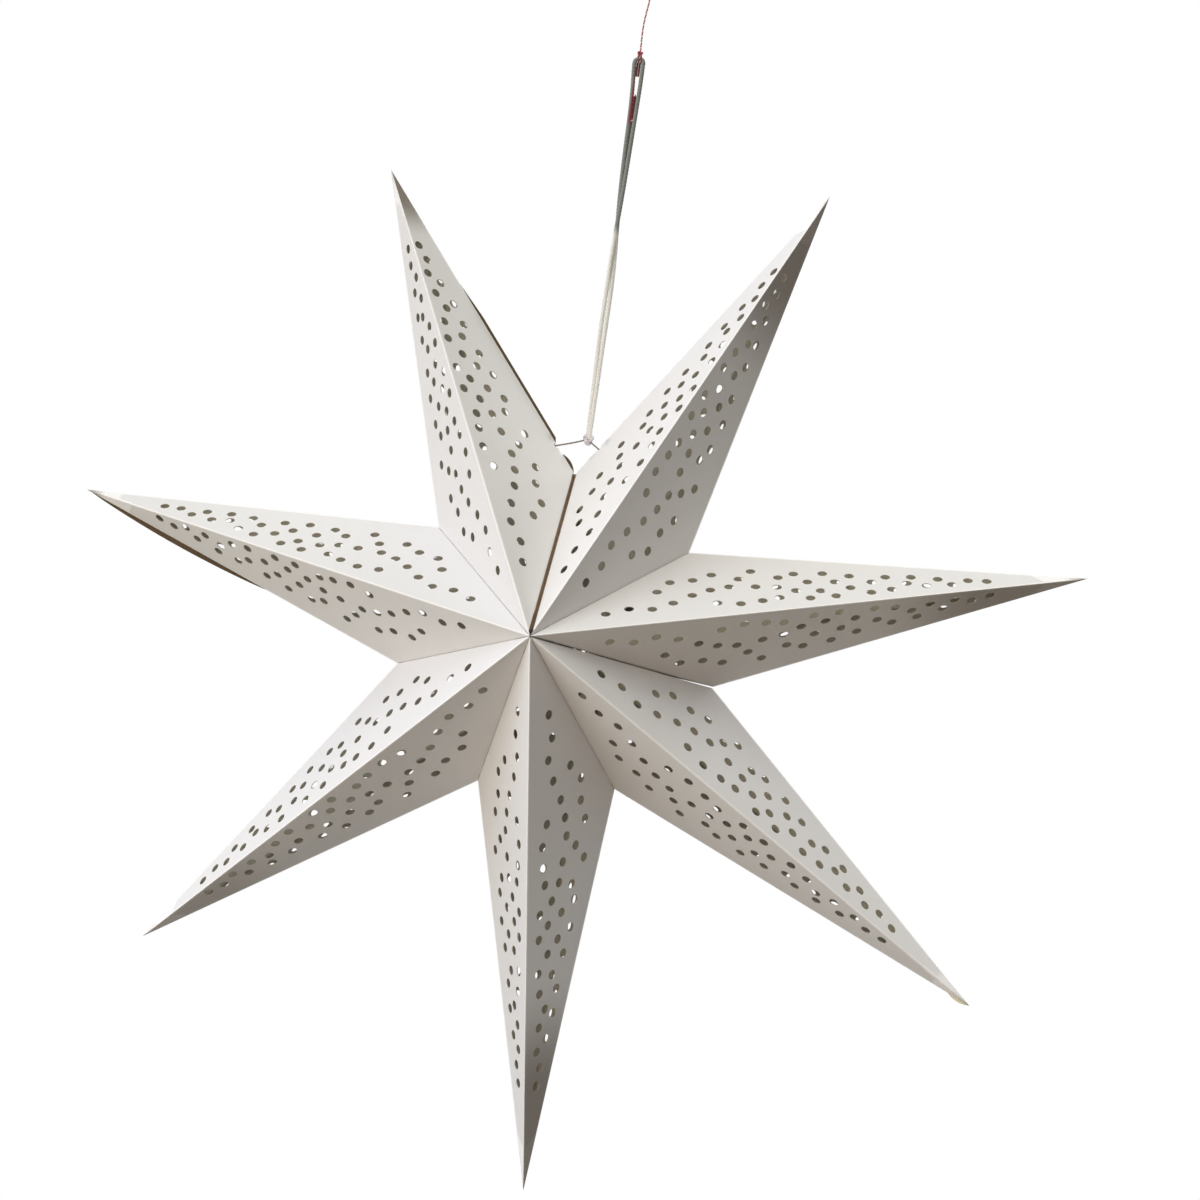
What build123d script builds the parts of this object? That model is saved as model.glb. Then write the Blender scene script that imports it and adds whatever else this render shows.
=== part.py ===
from build123d import *
from math import cos, radians, sin, tan
import os

# A seven-pointed folded paper star lantern on a hanging tape.
# The star lies in the XZ plane and faces -Y. Z is up, and the tape hangs along Z.
# The origin is at the top of the thread loop, where a hook takes the lantern.

# Star: reaches are measured from the axis in the plane of the tips
point_count = 7
star_reach = 300.0
valley_reach = 93.0
half_depth = 85.0
apex_drop = 2.5
star_turn = -3.2
card = 0.45
# Hand folding leaves the points a little uneven: degrees clockwise from an even star, and millimetres
tip_turn = (0.9, 1.0, 1.7, -2.1, -1.3, -0.8, 0.5)
tip_stretch = (-2.0, -3.0, -3.0, 4.0, 7.0, -3.0, 0.0)
valley_turn = (0.3, -0.4, -1.2, -0.3, 0.3, 1.4, 0.2)
valley_stretch = (4.0, -3.0, -2.0, -4.0, -2.0, 2.0, 5.0)

# Panels are drawn this much too large, then cut back to their mitres
overrun = 1.1

# Glue tabs along the valleys
tab_width = 9.0
tab_start = 14.0
tab_slant = 9.0

# Punched holes: distance along the ridge from the centre, and across from it.
# The card has many more, so these stand for them, drawn with few sides.
hole_diameter = 5.4
hole_sides = 6
hole_places = (
    (56.5, 17.5),
    (84.0, 43.0),
    (115.5, 31.0),
    (144.5, 36.0),
    (157.0, 9.0),
    (184.0, 29.5),
    (203.5, 9.5),
    (237.5, 8.0),
)

# Boards that face the first and last points where the ring of points closes
board = 1.0
seam_gap = 0.3
board_rim = 9.0
board_head = 26.0
board_foot = 4.0
bail_hole = 4.4
bail_hole_down = 16.0

# Tie: a thin cord through a hole in the side crease on each side of the seam
tie_diameter = 1.1
tie_hole = 3.6
tie_out = 20.0
tie_rise = 5.0
tie_knot_diameter = 5.0
stopper_diameter = 4.4
stopper_gap = 1.5

# Hanging tape, thread and loop
cord_sides = 6
knot_sides = 8
knot_edge = 0.29
bend_share = 0.45
tape_width = 2.5
tape_length = 224.0
thread_diameter = 1.1
thread_length = 44.0
hitch_gap = 0.3
knot_diameter = 3.2
loop_radius = 7.0

# Lamp insert with its own cells, hung on a bail through the boards
bail_wire = 1.6
bail_span = 22.0
bail_bend = 4.0
bail_drop = 14.0
bail_socket = 5.0
bail_fit = 0.1
seat_gap = 0.2
lug = 5.0
lug_height = 6.5
lug_round = 1.25
housing_wall = 1.5
housing_corner = 3.0
divider = 1.2
lamp_room = 9.0
cell_count = 3
cell_diameter = 10.3
cell_length = 43.7
cell_space = 0.5
cell_side_space = 1.05
cell_back_space = 3.0
cell_cap = 3.8
cell_cap_height = 0.8
contact = 0.4
contact_width = 7.0
led_board = 1.2
led_board_width = 16.0
led_board_depth = 9.0
led_diameter = 5.0
led_fit = 0.2
led_show = 3.0
collar_diameter = 24.0
collar_height = 2.5
spigot_height = 2.5
dome_diameter = 22.0
dome_wall = 1.2
dome_depth = 12.0
lid_thickness = 1.5
lid_corner = 2.0
lid_travel = 4.0
lid_rib = 0.6
lid_rib_depth = 2.6
grip_width = 14.0
grip_height = 1.4
grip_rise = 0.8
grip_up = 6.0
knob_width = 6.0
knob_height = 4.0
knob_rise = 1.8
knob_stem = 2.4
knob_back = 0.8
knob_travel = 3.0
knob_fit = 0.15


def around(reach, angle):
    """A point in the plane of the tips, clockwise from straight up, measured from the star's centre."""
    return Vector(reach * sin(radians(angle)), 0, reach * cos(radians(angle)))


pitch = 360 / point_count
tip_offsets = [
    around(star_reach + tip_stretch[k], star_turn + (k - 0.5) * pitch + tip_turn[k])
    for k in range(point_count)
]
valley_offsets = [
    around(valley_reach + valley_stretch[k], star_turn + k * pitch + valley_turn[k])
    for k in range(point_count)
]


def tie_offset(tip):
    """Where the tie enters a side crease, measured from the star's centre."""
    return valley_offsets[0] + (tip - valley_offsets[0]).normalized() * tie_out


# Heights, down from the origin
knot_radius = knot_diameter / 2
loop_knot_z = thread_diameter / 2 - 2 * loop_radius
hitch_radius = tape_width / 2 + hitch_gap + thread_diameter / 2
hitch_knot_z = loop_knot_z - thread_length
bight_z = hitch_knot_z - knot_radius - hitch_gap - tape_width / 2
tie_knot_z = bight_z - tape_length
tie_hole_height = (tie_offset(tip_offsets[0]).Z + tie_offset(tip_offsets[1]).Z) / 2
centre = Vector(0, 0, tie_knot_z - tie_rise - tie_hole_height)

tips = [centre + offset for offset in tip_offsets]
valleys = [centre + offset for offset in valley_offsets]
front_apex = centre + Vector(0, -half_depth, -apex_drop)
seam_half = seam_gap / 2 + board


def outward(tip, valley):
    """Unit normal of a front panel, pointing out of the star."""
    normal = (tip - front_apex).cross(valley - front_apex).normalized()
    return normal if normal.Y < 0 else normal * -1


def valley_plane(valley, tip, set_back):
    """The plane through the axis and a valley, set back towards the point that ends on it and facing it."""
    normal = (valley - front_apex).cross(Vector(0, 1, 0)).normalized()
    if normal.dot(tip - front_apex) < 0:
        normal = normal * -1
    return Plane(origin=front_apex + normal * set_back, x_dir=(0, 1, 0), z_dir=normal)


def scaled_triangle(a, b, c, factor):
    """The corners of a triangle grown about its middle."""
    middle = (a + b + c) * (1 / 3)
    return [middle + (corner - middle) * factor for corner in (a, b, c)]


def front_panel(tip, valley, other_valley, set_back):
    """One flat panel with mitred edges and its row of punched holes."""
    normal = outward(tip, valley)
    lean = normal - outward(tip, other_valley)
    face = Plane(origin=front_apex, x_dir=tip - front_apex, z_dir=normal)
    side = 1 if face.to_local_coords(valley).Y > 0 else -1
    ridge_mitre = Plane(origin=front_apex, x_dir=tip - front_apex, z_dir=lean)
    middle = Plane(origin=centre, x_dir=(1, 0, 0), z_dir=(0, -1, 0))
    with BuildPart() as panel:
        with BuildSketch(face):
            with BuildLine():
                Polyline(
                    *[
                        (face.to_local_coords(corner).X, face.to_local_coords(corner).Y)
                        for corner in scaled_triangle(front_apex, tip, valley, overrun)
                    ],
                    close=True,
                )
            make_face()
        extrude(amount=-card)
        split(bisect_by=ridge_mitre, keep=Keep.TOP)
        split(bisect_by=middle, keep=Keep.TOP)
        split(bisect_by=valley_plane(valley, tip, set_back), keep=Keep.TOP)
        with BuildSketch(face):
            with Locations(*[(along, side * across) for along, across in hole_places]):
                RegularPolygon(hole_diameter / 2, hole_sides)
        extrude(amount=-2 * card, mode=Mode.SUBTRACT)
    return panel.part


def valley_edge(tip, valley, set_back):
    """A valley plane, with the ends of the line where it cuts a front panel, in the plane's own X and Y."""
    plane = valley_plane(valley, tip, set_back)
    ends = []
    for corner in (front_apex, valley):
        run = tip - corner
        end = plane.to_local_coords(corner + run * (set_back / run.dot(plane.z_dir)))
        ends.append(Vector(end.X, end.Y))
    return plane, ends[0], ends[1]


def glue_tab(tip, valley, set_back):
    """The tab folded in along the front half of a valley."""
    plane, apex_end, valley_end = valley_edge(tip, valley, set_back)
    edge = (valley_end - apex_end).normalized()
    inward = Vector(edge.Y, -edge.X) if valley_end.Y > 0 else Vector(-edge.Y, edge.X)
    near = apex_end + edge * tab_start
    far = valley_end - edge * tab_slant / 2
    corners = (
        near,
        far,
        far - edge * tab_slant + inward * tab_width,
        near + edge * tab_slant + inward * tab_width,
    )
    with BuildPart() as tab:
        with BuildSketch(plane):
            with BuildLine():
                Polyline(*[(corner.X, corner.Y) for corner in corners], close=True)
            make_face()
        extrude(amount=card)
    return tab.part


def star_point(k):
    """One folded sheet: four panels, and glue tabs in its two valleys."""
    before = valleys[k - 1]
    after = valleys[k]
    at_seam = (1, 0)
    back_before = seam_half if k == at_seam[0] else 0
    back_after = seam_half if k == at_seam[1] else 0
    panels = [
        front_panel(tips[k], before, after, back_before),
        front_panel(tips[k], after, before, back_after),
    ]
    tabs = [
        glue_tab(tips[k], before, back_before),
        glue_tab(tips[k], after, back_after),
    ]
    with BuildPart() as sheet:
        add(panels)
        add(tabs)
        mirror(about=Plane.XZ)
        if k in at_seam:
            tip = tips[k]
            crease = (tip - valleys[0]).normalized()
            hole = centre + tie_offset(tip - centre)
            with BuildSketch(Plane(origin=hole, x_dir=crease, z_dir=crease.cross(Vector(0, 1, 0)))):
                Circle(tie_hole / 2)
            extrude(amount=2 * tie_hole, both=True, mode=Mode.SUBTRACT)
    return sheet.part


os.makedirs("parts", exist_ok=True)

for k in range(point_count):
    sheet = star_point(k)
    sheet.label = f"point_{k + 1}"
    export_step(sheet, f"parts/point_{k + 1}.step")
    print(sheet.label, "volume", round(sheet.volume), "solids", len(sheet.solids()), "valid", sheet.is_valid)


def seam_board(tip):
    """The board on one side of the seam: two arms along the valley, and a head between with the bail's hole."""
    plane, apex_end, valley_end = valley_edge(tip, valleys[0], seam_gap / 2)
    side = 1 if valley_end.Y > 0 else -1
    middle = valley_end.X
    edge = valley_end - apex_end
    slant = abs(edge.X / edge.Y)
    arm = board_rim * edge.length / abs(edge.Y)
    hole = side * abs(plane.to_local_coords(valleys[0]).Y) - side * bail_hole_down

    def half_width(height):
        """From the middle of the board to its outer edge, at a height above the axis."""
        return (side * valley_end.Y - height) * slant

    head_line = side * valley_end.Y - board_head
    corners = [
        (half_width(board_foot), board_foot),
        (0, side * valley_end.Y),
        (-half_width(board_foot), board_foot),
        (arm - half_width(board_foot), board_foot),
        (arm - half_width(head_line), head_line),
        (half_width(head_line) - arm, head_line),
        (half_width(board_foot) - arm, board_foot),
    ]
    with BuildPart() as sheet:
        with BuildSketch(plane):
            with BuildLine():
                Polyline(*[(middle + across, side * height) for across, height in corners], close=True)
            make_face()
            with Locations((middle, hole)):
                Circle(bail_hole / 2, mode=Mode.SUBTRACT)
        extrude(amount=board)
    return sheet.part


for k in range(2):
    face_board = seam_board(tips[k])
    face_board.label = f"seam_board_{k + 1}"
    export_step(face_board, f"parts/seam_board_{k + 1}.step")


def bead(diameter):
    """A knot, drawn with few flat faces: a short prism with its ends bevelled."""
    with BuildPart() as ball:
        with BuildSketch(Plane.XY.offset(-diameter / 2)):
            RegularPolygon(diameter / 2, knot_sides)
        extrude(amount=diameter)
        ends = ball.edges().group_by(Axis.Z)
        chamfer(ends[0] + ends[-1], knot_edge * diameter)
    return ball.part


def cord_ring(radius, diameter):
    """A ring of cord about Z."""
    with BuildPart() as ring:
        with BuildSketch(Plane.XZ):
            with Locations((radius, 0)):
                RegularPolygon(diameter / 2, cord_sides)
        revolve(axis=Axis.Z)
    return ring.part


# Tie: each strand runs from the middle knot through a crease hole to its stopper knot
tie_knot_at = Vector(0, 0, tie_knot_z)
tie_knot = Pos(tie_knot_at) * bead(tie_knot_diameter)
tie_knot.label = "tie_knot"
export_step(tie_knot, "parts/tie_knot.step")

for k, side in enumerate(("left", "right")):
    hole = centre + tie_offset(tips[k] - centre)
    strand_run = (hole - tie_knot_at).normalized()
    depth = stopper_diameter / 2 + stopper_gap + 2 * card
    end = hole + strand_run * depth
    stopper = Plane(origin=end, z_dir=strand_run).location * bead(stopper_diameter)
    with BuildPart() as strand:
        with BuildSketch(Plane(origin=tie_knot_at, z_dir=strand_run)):
            RegularPolygon(tie_diameter / 2, cord_sides)
        extrude(amount=(end - tie_knot_at).length)
        add(stopper)
        add(tie_knot, mode=Mode.SUBTRACT)
    strand.part.label = f"tie_{side}"
    export_step(strand.part, f"parts/tie_{side}.step")
    print(f"tie_{side} length", round((end - tie_knot_at).length, 1), "hole", hole - centre)


# Cords keep points chosen by hand, as heights above the piece that each one leaves


def bend_radii(points):
    """The largest even bend at each inner point, from the shorter run beside it."""
    radii = []
    for before, here, after in zip(points, points[1:], points[2:]):
        run_in = here - before
        run_out = after - here
        turn = radians(run_in.get_angle(run_out))
        radii.append(bend_share * min(run_in.length, run_out.length) / tan(turn / 2))
    return radii


def cord_tube(points, diameter, name):
    """A plain tube along straight runs joined by tangent arcs."""
    radii = bend_radii(points)
    with BuildPart() as tube:
        with BuildLine():
            route = FilletPolyline(*points, radius=radii)
        with BuildSketch(Plane(origin=route @ 0, z_dir=route % 0)) as section:
            RegularPolygon(diameter / 2, cord_sides)
        sweep()
    length = route.length
    print(name, "length", round(length, 1), "radii", [round(radius, 1) for radius in radii])
    print(name, "volume share", round(tube.part.volume / (section.sketch.area * length), 4))
    return tube.part


# Hanging tape: height above the tie knot, middle of the pair of strands, and one strand's place beside it
tape_route = (
    (0.0, 0.0, 0.7, -1.2),
    (30.0, -0.3, 1.1, -0.9),
    (60.0, -0.7, 1.4, -0.2),
    (86.0, -0.5, 1.35, 0.4),
    (106.0, -0.8, 0.9, 1.05),
    (123.0, -1.1, 0.0, 1.4),
    (142.0, -1.3, -0.9, 1.05),
    (166.0, -1.4, -1.4, 0.4),
    (192.0, -1.3, -1.7, 0.0),
    (209.0, -1.5, -2.2, 0.0),
    (218.5, -2.0, -2.6, 0.0),
    (224.0, -2.0, -2.6, 0.0),
)
first_strand = [
    Vector(middle + aside, forward, tie_knot_z + height)
    for height, middle, aside, forward in tape_route
]
second_strand = [
    Vector(middle - aside, -forward, tie_knot_z + height)
    for height, middle, aside, forward in tape_route
]
tape = cord_tube(first_strand + second_strand[::-1], tape_width, "tape_loop")
with BuildPart() as tape_loop:
    add(tape)
    add(tie_knot, mode=Mode.SUBTRACT)
tape_loop.part.label = "tape_loop"
export_step(tape_loop.part, "parts/tape_loop.step")

# Thread: a hitch round the top of the tape, a straight lead, and a loop for the hook
thread_route = ((0.0, -2.0), (12.0, -2.6), (21.0, -2.3), (32.0, -0.9), (44.0, 0.0))
bight = Vector(thread_route[0][1], 0, bight_z)
thread_points = [Vector(x, 0, hitch_knot_z + height) for height, x in thread_route]
lead = cord_tube(thread_points, thread_diameter, "thread")
hitch_knot = Pos(thread_points[0]) * bead(knot_diameter)
loop_knot = Pos(thread_points[-1]) * bead(knot_diameter)
with BuildPart() as thread:
    add(lead)
    add([hitch_knot, loop_knot], mode=Mode.SUBTRACT)
thread.part.label = "thread"
export_step(thread.part, "parts/thread.step")

hitch_ring = Plane(origin=bight, z_dir=(1, 0, 0)).location * cord_ring(hitch_radius, thread_diameter)
with BuildPart() as thread_hitch:
    add([hitch_ring, hitch_knot])
thread_hitch.part.label = "thread_hitch"
export_step(thread_hitch.part, "parts/thread_hitch.step")

loop_middle = Plane(origin=(0, 0, thread_diameter / 2 - loop_radius), z_dir=(0, 1, 0))
loop_ring = loop_middle.location * cord_ring(loop_radius, thread_diameter)
with BuildPart() as hanging_loop:
    add([loop_ring, loop_knot])
hanging_loop.part.label = "hanging_loop"
export_step(hanging_loop.part, "parts/hanging_loop.step")

# Lamp insert, hanging straight down from the holes in the boards
seam_run = (valleys[0] - front_apex - Vector(0, half_depth, 0)).normalized()
bail_hole_at = valleys[0] - seam_run * bail_hole_down
lamp_x = bail_hole_at.X
bar_z = bail_hole_at.Z - bail_hole / 2 + bail_wire / 2 + seat_gap
housing_top = bar_z - bail_drop - lug_height
cell_pitch = cell_diameter + cell_space
inner_width = cell_count * cell_pitch - cell_space + 2 * cell_side_space
housing_width = inner_width + 2 * housing_wall
housing_depth = housing_wall + seat_gap + cell_diameter + cell_back_space
bay_height = cell_length + cell_cap_height + 2 * contact + 2 * seat_gap
housing_height = bay_height + divider + lamp_room + 2 * housing_wall
housing_bottom = housing_top - housing_height
room_floor = housing_bottom + housing_wall
bay_floor = room_floor + lamp_room + divider
back = housing_depth / 2
led_hole = led_diameter + 2 * led_fit
spigot_diameter = dome_diameter - 2 * dome_wall - 2 * seat_gap
slot_z = room_floor + lamp_room / 2
knob_x = lamp_x - knob_travel / 2

with BuildPart() as bail:
    leg_end = housing_top + lug_height - bail_socket
    with BuildLine() as bail_path:
        FilletPolyline(
            (lamp_x - bail_span / 2, 0, leg_end),
            (lamp_x - bail_span / 2, 0, bar_z),
            (lamp_x + bail_span / 2, 0, bar_z),
            (lamp_x + bail_span / 2, 0, leg_end),
            radius=bail_bend,
        )
    with BuildSketch(Plane(origin=bail_path.line @ 0, z_dir=bail_path.line % 0)):
        RegularPolygon(bail_wire / 2, cord_sides)
    sweep()
bail.part.label = "lamp_bail"
export_step(bail.part, "parts/lamp_bail.step")

with BuildPart() as housing:
    with BuildSketch(Plane.XY.offset(housing_bottom)):
        with Locations((lamp_x, 0)):
            RectangleRounded(housing_width, housing_depth, housing_corner)
    extrude(amount=housing_height)
    with BuildSketch(Plane.XY.offset(housing_top)):
        with Locations((lamp_x - bail_span / 2, 0), (lamp_x + bail_span / 2, 0)):
            Rectangle(lug, lug)
    extrude(amount=lug_height)
    fillet(housing.edges().filter_by(Axis.Z).group_by(Axis.Z)[-1], lug_round)
    with BuildSketch(Plane.XY.offset(housing_top + lug_height)):
        with Locations((lamp_x - bail_span / 2, 0), (lamp_x + bail_span / 2, 0)):
            Circle(bail_wire / 2 + bail_fit)
    extrude(amount=-bail_socket - seat_gap, mode=Mode.SUBTRACT)
    # Cell bay and lamp room, both open at the back
    room = housing_depth - housing_wall
    with Locations((lamp_x, housing_wall / 2, bay_floor + bay_height / 2)):
        Box(inner_width, room, bay_height, mode=Mode.SUBTRACT)
    with Locations((lamp_x, housing_wall / 2, room_floor + lamp_room / 2)):
        Box(inner_width, room, lamp_room, mode=Mode.SUBTRACT)
    # Collar and spigot that carry the dome, with the hole for the light
    with BuildSketch(Plane.XY.offset(housing_bottom)):
        with Locations((lamp_x, 0)):
            Circle(collar_diameter / 2)
    extrude(amount=-collar_height)
    with BuildSketch(Plane.XY.offset(housing_bottom - collar_height)):
        with Locations((lamp_x, 0)):
            Circle(spigot_diameter / 2)
    extrude(amount=-spigot_height)
    with BuildSketch(Plane.XY.offset(room_floor)):
        with Locations((lamp_x, 0)):
            Circle(led_hole / 2)
    extrude(amount=-housing_wall - collar_height - spigot_height, mode=Mode.SUBTRACT)
    # Slot for the switch
    with Locations((lamp_x, -back + housing_wall / 2, slot_z)):
        Box(
            knob_stem + knob_travel + 2 * knob_fit,
            housing_wall,
            knob_stem + 2 * knob_fit,
            mode=Mode.SUBTRACT,
        )
housing.part.label = "lamp_housing"
export_step(housing.part, "parts/lamp_housing.step")

rib_across = inner_width - 2 * seat_gap - lid_rib
rib_height = bay_height - lid_travel - 2 * seat_gap
with BuildPart() as lid:
    with BuildSketch(Plane.XZ.offset(-back - seat_gap)):
        with Locations((lamp_x, housing_bottom + housing_height / 2)):
            RectangleRounded(housing_width, housing_height, lid_corner)
    extrude(amount=-lid_thickness)
    # Ribs that guide it between the side walls, and a ridge for the thumb
    with BuildSketch(Plane.XZ.offset(-back - seat_gap)):
        with Locations((lamp_x, bay_floor + seat_gap + rib_height / 2)):
            with GridLocations(rib_across, 0, 2, 1):
                Rectangle(lid_rib, rib_height)
    extrude(amount=lid_rib_depth)
    with BuildSketch(Plane.XZ.offset(-back - seat_gap - lid_thickness)):
        with Locations((lamp_x, housing_bottom + grip_up)):
            Rectangle(grip_width, grip_height)
    extrude(amount=-grip_rise)
lid.part.label = "lamp_lid"
export_step(lid.part, "parts/lamp_lid.step")

cell_y = -back + housing_wall + seat_gap + cell_diameter / 2
for k in range(cell_count):
    cell_x = lamp_x + (k - (cell_count - 1) / 2) * cell_pitch
    cap_up = k % 2 == 0
    can_floor = bay_floor + contact + seat_gap + (0 if cap_up else cell_cap_height)
    cap_floor = can_floor + cell_length if cap_up else can_floor - cell_cap_height
    with BuildPart() as cell:
        with BuildSketch(Plane.XY.offset(can_floor)):
            with Locations((cell_x, cell_y)):
                Circle(cell_diameter / 2)
        extrude(amount=cell_length)
        with BuildSketch(Plane.XY.offset(cap_floor)):
            with Locations((cell_x, cell_y)):
                Circle(cell_cap / 2)
        extrude(amount=cell_cap_height)
    cell.part.label = f"cell_{k + 1}"
    export_step(cell.part, f"parts/cell_{k + 1}.step")

for name, floor in (("contact_top", bay_floor + bay_height - contact), ("contact_bottom", bay_floor)):
    with BuildPart() as strip:
        with BuildSketch(Plane.XY.offset(floor)):
            with Locations((lamp_x, cell_y)):
                Rectangle(cell_count * cell_pitch - cell_space, contact_width)
        extrude(amount=contact)
    strip.part.label = name
    export_step(strip.part, f"parts/{name}.step")

with BuildPart() as led_plate:
    with BuildSketch(Plane.XY.offset(room_floor)):
        with Locations((lamp_x, 0)):
            Rectangle(led_board_width, led_board_depth)
    extrude(amount=led_board)
led_plate.part.label = "led_board"
export_step(led_plate.part, "parts/led_board.step")

led_length = housing_wall + collar_height + spigot_height + led_show
with BuildPart() as led:
    with BuildSketch(Plane.XY.offset(room_floor)):
        with Locations((lamp_x, 0)):
            Circle(led_diameter / 2)
    extrude(amount=-led_length)
led.part.label = "led"
export_step(led.part, "parts/led.step")

dome_top = housing_bottom - collar_height
with BuildPart() as dome:
    with BuildSketch(Plane.XY.offset(dome_top)):
        with Locations((lamp_x, 0)):
            Circle(dome_diameter / 2)
    extrude(amount=-dome_depth)
    with BuildSketch(Plane.XY.offset(dome_top)):
        with Locations((lamp_x, 0)):
            Circle(dome_diameter / 2 - dome_wall)
    extrude(amount=dome_wall - dome_depth, mode=Mode.SUBTRACT)
dome.part.label = "lamp_dome"
export_step(dome.part, "parts/lamp_dome.step")

with BuildPart() as knob:
    with BuildSketch(Plane.XZ.offset(back + seat_gap)):
        with Locations((knob_x, slot_z)):
            RectangleRounded(knob_width, knob_height, knob_height / 4)
    extrude(amount=knob_rise)
    with BuildSketch(Plane.XZ.offset(back + seat_gap)):
        with Locations((knob_x, slot_z)):
            Rectangle(knob_stem, knob_stem)
    extrude(amount=-housing_wall - 2 * seat_gap)
    with BuildSketch(Plane.XZ.offset(back - housing_wall - seat_gap)):
        with Locations((knob_x, slot_z)):
            Rectangle(knob_width, knob_height)
    extrude(amount=-knob_back)
knob.part.label = "switch_knob"
export_step(knob.part, "parts/switch_knob.step")
print("centre", centre, "lamp x", lamp_x, "bar z", bar_z, "lamp foot", dome_top - dome_depth)
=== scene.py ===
import bpy
import numpy as np
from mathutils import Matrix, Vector
from mathutils.geometry import delaunay_2d_cdt


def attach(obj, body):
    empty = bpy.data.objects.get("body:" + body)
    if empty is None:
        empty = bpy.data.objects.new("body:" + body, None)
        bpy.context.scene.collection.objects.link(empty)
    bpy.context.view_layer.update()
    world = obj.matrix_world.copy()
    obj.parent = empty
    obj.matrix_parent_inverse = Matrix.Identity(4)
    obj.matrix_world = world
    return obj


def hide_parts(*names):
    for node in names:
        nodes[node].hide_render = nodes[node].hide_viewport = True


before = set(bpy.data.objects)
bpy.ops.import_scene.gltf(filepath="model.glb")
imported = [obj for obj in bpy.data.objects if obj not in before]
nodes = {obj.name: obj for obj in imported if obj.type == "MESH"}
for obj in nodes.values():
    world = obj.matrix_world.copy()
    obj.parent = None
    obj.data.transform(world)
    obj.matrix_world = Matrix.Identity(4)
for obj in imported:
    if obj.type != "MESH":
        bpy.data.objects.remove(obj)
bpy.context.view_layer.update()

# Lengths are in millimetres, and times MM where they go into a mesh. Those of the camera, the lights,
# the floor and the finishes are in metres
MM = 0.001


def in_scene(name, data):
    """A new object for a mesh, a light or a camera, linked to the scene."""
    made = bpy.data.objects.new(name, data)
    bpy.context.scene.collection.objects.link(made)
    return made


# Camera, where the photograph was taken from

camera_place = (0.2435, -1.2760, -0.4626)
camera_turn = (93.90, -8.09, 9.39)
camera_angle = 29.45
camera_limit = 60.0

camera = in_scene("camera", bpy.data.cameras.new("camera"))
camera.location = camera_place
camera.rotation_euler = np.radians(camera_turn)
camera.data.angle = np.radians(camera_angle)
camera.data.clip_end = camera_limit
bpy.context.scene.camera = camera


# The star's measures, in millimetres, as in the part's source

point_count = 7
star_reach = 300.0
valley_reach = 93.0
half_depth = 85.0
apex_drop = 2.5
star_turn = -3.2
card = 0.45
centre_z = -402.416
tip_turn = np.array((0.9, 1.0, 1.7, -2.1, -1.3, -0.8, 0.5))
tip_stretch = np.array((-2.0, -3.0, -3.0, 4.0, 7.0, -3.0, 0.0))
valley_turn = np.array((0.3, -0.4, -1.2, -0.3, 0.3, 1.4, 0.2))
valley_stretch = np.array((4.0, -3.0, -2.0, -4.0, -2.0, 2.0, 5.0))
tab_width = 9.0
tab_start = 14.0
tab_slant = 9.0
seam_half = 1.15
tie_out = 20.0
tie_hole = 3.6

# The full punched pattern of a panel: distance along the ridge from the apex, and across from it
hole_diameter = 5.4
hole_places = np.array((
    (43, 14.5), (56.5, 17.5), (69, 14.5), (75, 33.5), (81.5, 19), (84, 43),
    (93.5, 25.5), (97, 43), (104.5, 29.5), (105.5, 14), (108.5, 47), (115.5, 31),
    (118, 10.5), (122.5, 39), (130, 28), (130.5, 11.5), (131, 46.5), (140.5, 13),
    (141.5, 25), (144.5, 36), (151, 19), (154, 38.5), (157, 9), (159.5, 27.5),
    (164.5, 16), (170, 35.5), (171.5, 8.5), (174.5, 24.5), (181.5, 16), (184, 29.5),
    (191.5, 8.5), (194.5, 20), (203.5, 24), (203.5, 9.5), (213.5, 14.5), (217.5, 21),
    (223.5, 9.5), (231.5, 15.5), (237.5, 8), (247.5, 10.5), (257.5, 7.5),
))
# How the pattern sits on the folded panels: its shares of those lengths, and how far it slipped
# along and across on each point's two panels
pattern_share = np.array((0.985, 0.95))
pattern_slip = np.array((
    ((6, 0.5), (4, -3)),
    ((1.5, -2), (2, -1)),
    ((1, 1), (1.5, -0.5)),
    ((1.5, 1), (1, -1)),
    ((3.5, 2), (2.5, 2)),
    ((2.5, -2.5), (3.5, 1.5)),
    ((4.5, -2.5), (6, 1.5)),
))
back_slip = np.array((-6.0, 0.0))

# How the card lies: gap left at each valley, and how far each panel bows
valley_gap = (seam_half, 0.12, 0.45, 0.12, 0.12, 0.12, 0.12)
bow_mean = 0.5
bow_spread = 0.6
# Toward the tip the inner face comes nearer, down to a share of the card
tip_taper = 14.0
tip_thin = 0.12
# Painted shade: panels that go darker and browner toward the tip, by point and panel, from how far off, and
# how much
painted_tip_shade = {
    (0, 1): (50.0, 0.88), (1, 1): (125.0, 0.66), (2, 0): (8.0, 0.75), (2, 1): (125.0, 0.52),
    (4, 0): (125.0, 0.70), (5, 0): (110.0, 0.34), (6, 0): (10.0, 0.85), (6, 1): (8.0, 0.85),
}
plain_painted_tip_shade = (14.0, 0.25)
painted_shade_fade = 0.55
random = np.random.default_rng(7)

# How fine the mesh of a panel is: points on its edges, in the row beside them, round a hole and between
ridge_steps = 38
side_steps = 32
tab_steps = 12
tab_rows = 4
row_steps = (30, 24, 10)
notch_steps = 9
hole_steps = 20
mesh_step = 7.0
# Shares of an edge: where its even points begin, and what stays clear beside the tie's notch
edge_start = 0.03
notch_clear = 0.01
# Distances: the row from the edge, loose points from the edge and from a hole
fold_row = 0.5
loose_inset = 2.5
hole_clear = 1.2
# A triangle belongs to a hole or the notch when its middle lies within this share of it
hole_share = 0.97
notch_share = 0.93
cut_tolerance = 1e-5
least_area = 1e-7
far_from_fold = 5.0
# The paler line of a fold, partly worn card and partly painted highlight, fades between these distances
fold_line_wear_and_highlight = (0.3, 1.3)
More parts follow.
